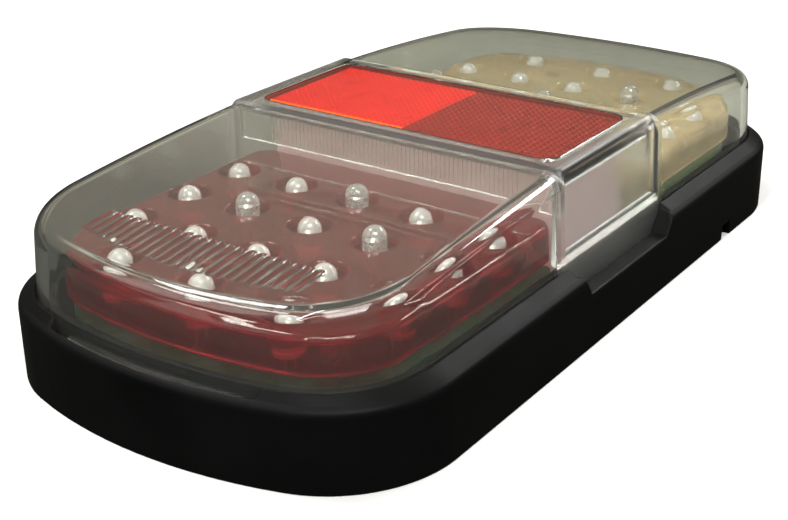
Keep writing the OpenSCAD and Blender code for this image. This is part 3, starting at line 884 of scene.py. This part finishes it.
# Colours as linear red, green and blue: a darker and a lighter shade of each material
HOUSING_SHADES = (0.0036, 0.0036, 0.0038), (0.0062, 0.0062, 0.0064)
CLEAR_SHADES = (0.82, 0.84, 0.80), (0.86, 0.88, 0.84)
RED_SHADES = (0.34, 0.01, 0.02), (0.46, 0.02, 0.034)
AMBER_SHADES = (0.62, 0.5, 0.3), (0.72, 0.6, 0.4)
PLATE_SHADES = (0.9, 0.26, 0.22), (0.95, 0.32, 0.28)
# The reflector's cells are all one red: the far half is painted lit and the near half painted
# shaded
PAINTED_LIT_CELL_SHADES = (0.33, 0.008, 0.006), (0.4, 0.013, 0.009)
PAINTED_SHADE_CELL_SHADES = (0.05, 0.004, 0.004), (0.09, 0.007, 0.007)
# A painted orange glint on the column of cells at the -X end of the far half
PAINTED_GLINT_CELL_SHADES = (0.95, 0.85, 0.02), (1.0, 0.95, 0.03)
EPOXY_SHADES = (0.93, 0.93, 0.93), (0.98, 0.98, 0.98)
# The carrier is white plastic; its pink is painted red light and its greyness painted shade
CARRIER_PAINTED_PINK_SHADES = (0.56, 0.38, 0.4), (0.64, 0.44, 0.46)
NICKEL_SHADES = (0.62, 0.6, 0.56), (0.8, 0.78, 0.74)
STEEL_SHADES = (0.45, 0.45, 0.46), (0.62, 0.62, 0.63)
BRASS_SHADES = (0.55, 0.36, 0.12), (0.72, 0.5, 0.2)
BOARD_SHADES = (0.0015, 0.018, 0.007), (0.003, 0.05, 0.018)
RUBBER_SHADES = (0.012, 0.012, 0.012), (0.022, 0.022, 0.022)
COMPONENT_SHADES = (0.01, 0.01, 0.011), (0.03, 0.03, 0.03)
BACKING_SHADES = (0.5, 0.5, 0.5), (0.6, 0.6, 0.6)
WIRE_SHADES = (0.35, 0.03, 0.02), (0.45, 0.05, 0.03)
FLOOR_SHADES = (0.86, 0.86, 0.86), (0.9, 0.9, 0.9)

# The tint that lamp light takes as it passes through
CLEAR_LAMP, PLATE_LAMP, EPOXY_LAMP = (0.84, 0.86, 0.82), (0.95, 0.55, 0.5), (0.9, 0.9, 0.9)
RED_LAMP, AMBER_LAMP = (0.85, 0.35, 0.32), (0.95, 0.8, 0.6)

# The span of noise that is used, the painted milky white of the LEDs, refraction, and the board's
# tracks
NOISE_SPAN = 0.3, 0.7
# The LEDs are clear: their milky white is a painted highlight, with less of it on the raised kind
TAIL_PAINTED_WHITE_MILK, RAISED_PAINTED_WHITE_MILK = 0.32, 0.16
ACRYLIC_IOR, EPOXY_IOR, EPOXY_COAT_IOR = 1.49, 1.52, 2.0
TRACK_PITCH, TRACK_SPAN = 3.5, (0.03, 0.09)


class Finish:
    """A Principled material whose colour, roughness and bump come from procedural nodes."""

    def __init__(self, name, **sockets):
        self.material = bpy.data.materials.new(name)
        self.material.use_nodes = True
        self.nodes = self.material.node_tree.nodes
        self.links = self.material.node_tree.links
        self.shader = self.nodes["Principled BSDF"]
        self.place = self.nodes.new("ShaderNodeTexCoord").outputs["Object"]
        for socket, value in sockets.items():
            self.shader.inputs[socket.replace("_", " ")].default_value = value

    def node(self, kind, **settings):
        made = self.nodes.new("ShaderNode" + kind)
        for key, value in settings.items():
            if key in made.inputs:
                made.inputs[key].default_value = value
            else:
                setattr(made, key, value)
        return made

    def noise(self, size_mm, detail=4.0, rough=0.55, distortion=0.0):
        """Noise with cells of about that many millimetres."""
        n = self.node("TexNoise", Scale=1 / (size_mm * MM), Detail=detail, Roughness=rough,
                      Distortion=distortion)
        self.links.new(self.place, n.inputs["Vector"])
        return n.outputs["Fac"]

    def axes(self):
        """The place along X, Y and Z, in metres."""
        split = self.node("SeparateXYZ")
        self.links.new(self.place, split.inputs[0])
        return split.outputs

    def spread(self, value, low, high, to_low, to_high):
        """Maps a value from one span to another, and holds it there."""
        m = self.node("MapRange")
        self.links.new(value, m.inputs["Value"])
        ends = {"From Min": low, "From Max": high, "To Min": to_low, "To Max": to_high}
        for name, number in ends.items():
            m.inputs[name].default_value = number
        return m.outputs["Result"]

    def colours(self, value, dark, light, span=NOISE_SPAN):
        """Sets the base colour by a value: dark at the start of its span and light at the end."""
        r = self.node("ValToRGB")
        for element, position, colour in zip(r.color_ramp.elements, span, (dark, light)):
            element.position = position
            element.color = (*colour, 1)
        self.links.new(value, r.inputs["Fac"])
        self.links.new(r.outputs["Color"], self.shader.inputs["Base Color"])

    def roughness(self, value, low, high):
        """Sets the roughness by a noise value."""
        rough = self.spread(value, *NOISE_SPAN, low, high)
        self.links.new(rough, self.shader.inputs["Roughness"])

    def maths(self, operation, *values):
        """A maths node, whose values are numbers or other nodes' outputs."""
        made = self.node("Math", operation=operation)
        for k, value in enumerate(values):
            if isinstance(value, (int, float)):
                made.inputs[k].default_value = value
            else:
                self.links.new(value, made.inputs[k])
        return made.outputs[0]

    def bump(self, value, depth_mm, strength):
        """Raises the surface by a value, up to a depth in millimetres."""
        b = self.node("Bump", Strength=strength, Distance=depth_mm * MM)
        self.links.new(value, b.inputs["Height"])
        self.links.new(b.outputs["Normal"], self.shader.inputs["Normal"])

    def let_lamps_through(self, tint):
        """Lets lamp light pass without bending, so that what is inside is lit."""
        path = self.node("LightPath")
        clear = self.node("BsdfTransparent", Color=(*tint, 1))
        in_shadow = path.outputs["Is Shadow Ray"]
        blend = self.blended(in_shadow, self.shader.outputs[0], clear.outputs[0])
        self.links.new(blend, self.nodes["Material Output"].inputs["Surface"])

    def paint_floor_shade(self, reflected, dim, light, dim_x, light_x):
        """Painted shade: darker in reflections and through glass than to the camera, and dimmer
        towards -X.
        """
        path = self.node("LightPath")
        share = self.spread(self.axes()[0], dim_x, light_x, 0, 1)
        colours = (reflected, dim, light)
        shades = [self.node("BsdfDiffuse", Color=(*c, 1)).outputs[0] for c in colours]
        through = self.blended(share, shades[1], shades[2])
        inner = self.blended(path.outputs["Is Transmission Ray"], shades[0], through)
        outer = self.blended(path.outputs["Is Camera Ray"], inner, self.shader.outputs[0])
        self.links.new(outer, self.nodes["Material Output"].inputs["Surface"])

    def blended(self, share, first, second):
        """One shader that turns from the first to the second as the share rises."""
        blend = self.node("MixShader")
        for socket, source in zip(blend.inputs, (share, first, second)):
            self.links.new(source, socket)
        return blend.outputs[0]


def housing_plastic():
    f = Finish("housing plastic", Specular_IOR_Level=0.07)
    broad, fine = f.noise(22, detail=3), f.noise(0.5, detail=6)
    f.colours(broad, *HOUSING_SHADES)
    f.roughness(broad, low=0.36, high=0.5)
    f.bump(fine, depth_mm=0.04, strength=0.25)
    return f.material


def clear_plastic():
    """Clear, with smears, and satin on the step and walls round the bridge and in the recesses."""
    f = Finish("clear plastic", Transmission_Weight=0.985, IOR=ACRYLIC_IOR)
    smears = f.noise(14, detail=4, distortion=1.5)
    f.colours(smears, *CLEAR_SHADES)
    gloss = f.spread(smears, *NOISE_SPAN, to_low=0.0, to_high=0.03)
    f.links.new(f.maths("ADD", satin_places(f), gloss), f.shader.inputs["Roughness"])
    f.bump(f.noise(9, detail=2), depth_mm=0.05, strength=0.15)
    f.let_lamps_through(CLEAR_LAMP)
    return f.material


def satin_places(f):
    """How rough the clear plastic is by its place: the step, the walls and the recesses."""
    along, across, up = f.axes()
    along, across = f.maths("ABSOLUTE", along), f.maths("ABSOLUTE", across)
    low = f.maths("LESS_THAN", up, SATIN_Z * MM)
    beside = f.maths("COMPARE", along, BRIDGE_HALF * MM, SATIN_HALF * MM)
    walls = f.maths("MULTIPLY", f.maths("MULTIPLY", beside, low), WALL_SATIN)
    near_step = f.maths("COMPARE", along, BRIDGE_HALF * MM, SATIN_STEP * MM)
    step = f.maths("MULTIPLY", near_step, f.maths("SUBTRACT", 1, low))
    within = f.maths("LESS_THAN", along, (BRIDGE_HALF + SATIN_HALF) * MM)
    recess = f.maths("MULTIPLY", within, f.maths("GREATER_THAN", across, SATIN_Y * MM))
    edges = f.maths("MULTIPLY", f.maths("MAXIMUM", step, recess), EDGE_SATIN)
    return f.maths("MAXIMUM", walls, edges)


def tray_plastic(name, clarity, shades, lamp):
    """Tinted plastic, clear by the given share and hazy by the rest."""
    f = Finish(name, Transmission_Weight=clarity, IOR=ACRYLIC_IOR, Coat_Weight=0.7,
               Coat_Roughness=0.03)
    flow = f.noise(18, detail=3, distortion=0.8)
    f.colours(flow, *shades)
    f.roughness(flow, low=0.05, high=0.13)
    f.bump(f.noise(6, detail=3), depth_mm=0.04, strength=0.2)
    f.let_lamps_through(lamp)
    return f.material


def reflector_red():
    f = Finish("reflector red", Transmission_Weight=1.0, IOR=ACRYLIC_IOR)
    flow = f.noise(12, detail=3)
    f.colours(flow, *PLATE_SHADES)
    f.roughness(flow, low=0.02, high=0.1)
    f.bump(f.noise(7, detail=2), depth_mm=0.03, strength=0.2)
    f.let_lamps_through(PLATE_LAMP)
    return f.material


def reflector_cells(name, shades):
    f = Finish(name, Specular_IOR_Level=0.2, Coat_Weight=0.1, Coat_Roughness=0.2)
    flow = f.noise(5, detail=3)
    f.colours(flow, *shades)
    f.roughness(flow, low=0.25, high=0.4)
    f.bump(f.noise(0.6, detail=2), depth_mm=0.02, strength=0.3)
    return f.material


def led_epoxy(name, painted_white_milk):
    """Clear epoxy, milky by the given share: a painted white that stands in for highlights on the
    domes.
    """
    f = Finish(name, Transmission_Weight=1 - painted_white_milk, IOR=EPOXY_IOR, Coat_Weight=1.0,
               Coat_IOR=EPOXY_COAT_IOR, Coat_Roughness=0.08)
    haze = f.noise(1.5, detail=2)
    f.colours(haze, *EPOXY_SHADES)
    f.roughness(haze, low=0.02, high=0.08)
    f.bump(haze, depth_mm=0.01, strength=0.1)
    f.let_lamps_through(EPOXY_LAMP)
    return f.material


def metal(name, shades):
    f = Finish(name, Metallic=1.0)
    grain = f.noise(0.8, detail=4)
    f.colours(grain, *shades)
    f.roughness(grain, low=0.2, high=0.4)
    f.bump(grain, depth_mm=0.01, strength=0.2)
    return f.material


def moulded(name, shades, low=0.35, high=0.5, grain_mm=0.6, depth_mm=0.02):
    """Plain moulded plastic or rubber with a fine grain and slow changes of shade."""
    f = Finish(name)
    f.colours(f.noise(12, detail=3), *shades)
    grain = f.noise(grain_mm, detail=4)
    f.roughness(grain, low, high)
    f.bump(grain, depth_mm, strength=0.3)
    return f.material


def circuit_board():
    """Green solder mask over copper tracks, which show as a raised lighter pattern."""
    f = Finish("circuit board", Coat_Weight=0.4, Coat_Roughness=0.15)
    cells = f.node("TexVoronoi", Scale=1 / (TRACK_PITCH * MM), feature="DISTANCE_TO_EDGE",
                   distance="CHEBYCHEV")
    f.links.new(f.place, cells.inputs["Vector"])
    track = f.spread(cells.outputs["Distance"], *TRACK_SPAN, to_low=0, to_high=1)
    f.colours(track, *BOARD_SHADES, span=(0.0, 1.0))
    f.roughness(f.noise(3, detail=3), low=0.3, high=0.45)
    f.bump(track, depth_mm=0.04, strength=0.5)
    return f.material


# ---- Putting it together ----


def finish_cad(node, material):
    """Gives a CAD node that stays its material."""
    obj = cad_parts[node]
    obj.data.materials.clear()
    obj.data.materials.append(material)


def show(obj, body, slot, material, *nodes):
    """Puts a piece on its body, in its finish, in place of the CAD nodes. The slot is not used."""
    obj.data.materials.clear()
    obj.data.materials.append(material)
    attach(obj, body)
    if nodes:
        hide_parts(*nodes)


def build():
    show(make_housing(), "root", "housing_plastic", housing_plastic(), "base_housing")
    show(make_lens(), "lens", "clear_plastic", clear_plastic(), "outer_lens")
    show(make_reflector(), "lens", "reflector_red", reflector_red(), "reflector")
    # Painted light on the cells: lit on the far half, painted shade on the near half and the
    # border
    bright = reflector_cells("bright cells", PAINTED_LIT_CELL_SHADES)
    dark = reflector_cells("dark cells", PAINTED_SHADE_CELL_SHADES)
    # The edge cells carry a painted orange glint
    painted_glint_cells = reflector_cells("edge cells", PAINTED_GLINT_CELL_SHADES)
    show(make_cells("reflector_cells_edge", 1, 0, 2), "lens", "reflector_red", painted_glint_cells)
    show(make_cells("reflector_cells_far", 1, 1, None), "lens", "reflector_red", bright)
    show(make_cells("reflector_cells_near", -1, 0, None), "lens", "reflector_red", dark)
    show(make_rim(), "lens", "reflector_red", dark)
    red = tray_plastic("red plastic", clarity=0.9, shades=RED_SHADES, lamp=RED_LAMP)
    amber = tray_plastic("amber plastic", clarity=0.66, shades=AMBER_SHADES, lamp=AMBER_LAMP)
    show(make_tray("red_tray", -1), "root", "red_plastic", red, "stop_tail_tray")
    show(make_tray("amber_tray", 1), "root", "amber_plastic", amber, "indicator_tray")
    # White plastic with painted pink light and painted shade, for the carrier and the terminal
    # block
    white = moulded("white plastic", CARRIER_PAINTED_PINK_SHADES, low=0.3, high=0.42)
    show(make_carrier(), "root", "white_plastic", white, "centre_carrier")
    milky, clear = led_epoxy("milky epoxy", TAIL_PAINTED_WHITE_MILK), led_epoxy("clear epoxy", RAISED_PAINTED_WHITE_MILK)
    nickel = metal("lead frame nickel", NICKEL_SHADES)
    for name, places, raised in led_groups():
        bodies, frames = make_leds(name, places)
        nodes = [name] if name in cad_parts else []
        show(bodies, "root", "led_epoxy", clear if raised else milky, *nodes)
        show(frames, "root", "screw_steel", nickel)
    finish_rest(white)


def finish_rest(white):
    """The CAD nodes that stay: what lies inside, behind and under the lamp."""
    rubber = moulded("seal rubber", RUBBER_SHADES, low=0.6, high=0.8, grain_mm=0.3, depth_mm=0.04)
    for node in ("mounting_seal", "lens_seal", "cable_grommet"):
        finish_cad(node, rubber)
    finish_cad("threaded_inserts", metal("insert brass", BRASS_SHADES))
    steel = metal("screw steel", STEEL_SHADES)
    for node in ("board_screws", "carrier_screws", "terminal_screws"):
        finish_cad(node, steel)
    board = circuit_board()
    for node in ("stop_tail_board", "indicator_board"):
        finish_cad(node, board)
    black = moulded("component black", COMPONENT_SHADES, low=0.4, high=0.6, grain_mm=0.2,
                    depth_mm=0.01)
    for node in ("stop_tail_resistors", "indicator_resistors", "diodes"):
        finish_cad(node, black)
    finish_cad("terminal_block", white)
    finish_cad("reflector_back", moulded("reflector backing", BACKING_SHADES))
    finish_cad("link_wires", moulded("wire insulation", WIRE_SHADES))


# ---- Stage, light and camera, in metres ----

FLOOR_R, FLOOR_RINGS, FLOOR_STEP, BACKDROP_R = 2.1, 13, 0.15, 0.9
# Painted shade on the floor, seen only in reflections and through glass, and darker towards -X
FLOOR_PAINTED_SHADE, FLOOR_LIGHT, FLOOR_LIGHT_X = (0.05, 0.05, 0.045), (0.44, 0.44, 0.39), 0.16
WORLD_COLOUR, WORLD_STRENGTH = (0.9, 0.8, 0.62, 1), 0.34
LAMP_TARGET = Vector((0, 0, 0.02))
CAMERA_TARGET = Vector((-0.0002, 0.0001, 0))
CAMERA_AZIMUTH, CAMERA_ELEVATION = math.radians(-146.7), math.radians(24.215)
CAMERA_DISTANCE, CAMERA_LENS, CAMERA_SHIFT = 0.33205, 64.42, (-0.0567, 0.0072)
MOST_BOUNCES = 24


def make_floor():
    """A pale floor that rises into a backdrop far from the lamp on every side."""
    bm = bmesh.new()
    rise = [(k * FLOOR_STEP, 0) for k in range(1, FLOOR_RINGS + 1)]
    for w in steps(6, 90, 14):
        out = FLOOR_R + BACKDROP_R * math.sin(math.radians(w))
        rise.append((out, BACKDROP_R - BACKDROP_R * math.cos(math.radians(w))))
    columns = lathe(bm, 0, 0, [(r / MM, z / MM) for r, z in rise], count=96)
    bm.faces.new([c[0] for c in columns])
    floor = piece("floor", bm)
    f = Finish("pale floor")
    cloud = f.noise(180, detail=3)
    f.colours(cloud, *FLOOR_SHADES)
    f.roughness(cloud, low=0.6, high=0.75)
    # Painted shade: the floor is darker in reflections and through glass, most of all towards -X
    f.paint_floor_shade(FLOOR_PAINTED_SHADE, FLOOR_PAINTED_SHADE, FLOOR_LIGHT, dim_x=0.0, light_x=FLOOR_LIGHT_X)
    floor.data.materials.append(f.material)


def make_light(name, place, size, watts):
    """A soft rectangular lamp that points at the tail light."""
    lamp = bpy.data.lights.new(name, "AREA")
    lamp.shape = "RECTANGLE"
    lamp.size, lamp.size_y = size
    lamp.energy = watts
    obj = bpy.data.objects.new(name, lamp)
    obj.location = place
    obj.rotation_euler = (LAMP_TARGET - Vector(place)).to_track_quat("-Z", "Y").to_euler()
    bpy.context.scene.collection.objects.link(obj)


def make_camera():
    """The photographed view: from the tail end, a little above the lamp, to its left side."""
    data = bpy.data.cameras.new("camera")
    data.sensor_width = 36
    data.lens = CAMERA_LENS
    data.shift_x, data.shift_y = CAMERA_SHIFT
    data.clip_start = 0.01
    obj = bpy.data.objects.new("camera", data)
    flat = CAMERA_DISTANCE * math.cos(CAMERA_ELEVATION)
    offset = Vector((
        flat * math.cos(CAMERA_AZIMUTH),
        flat * math.sin(CAMERA_AZIMUTH),
        CAMERA_DISTANCE * math.sin(CAMERA_ELEVATION),
    ))
    obj.location = CAMERA_TARGET + offset
    obj.rotation_euler = (-offset).to_track_quat("-Z", "Y").to_euler()
    bpy.context.scene.collection.objects.link(obj)
    bpy.context.scene.camera = obj


def make_stage():
    scene = bpy.context.scene
    scene.view_settings.view_transform = "Standard"
    scene.cycles.max_bounces = MOST_BOUNCES
    scene.cycles.transmission_bounces = MOST_BOUNCES
    world = bpy.data.worlds.new("studio")
    world.use_nodes = True
    background = world.node_tree.nodes["Background"]
    background.inputs["Color"].default_value = WORLD_COLOUR
    background.inputs["Strength"].default_value = WORLD_STRENGTH
    scene.world = world
    make_floor()
    make_light("key", place=(-0.5, -0.6, 1.1), size=(0.7, 0.7), watts=14)
    make_light("high", place=(-0.15, 0.6, 1.03), size=(0.35, 0.35), watts=7)
    make_light("end", place=(0.8, -0.22, 0.62), size=(0.6, 0.12), watts=4.5)
    make_light("fill", place=(-0.9, 0.7, 0.8), size=(0.8, 0.8), watts=2.5)
    make_light("strip", place=(-0.7, -0.1, 0.9), size=(0.05, 0.9), watts=3.5)
    make_camera()


make_stage()
build()
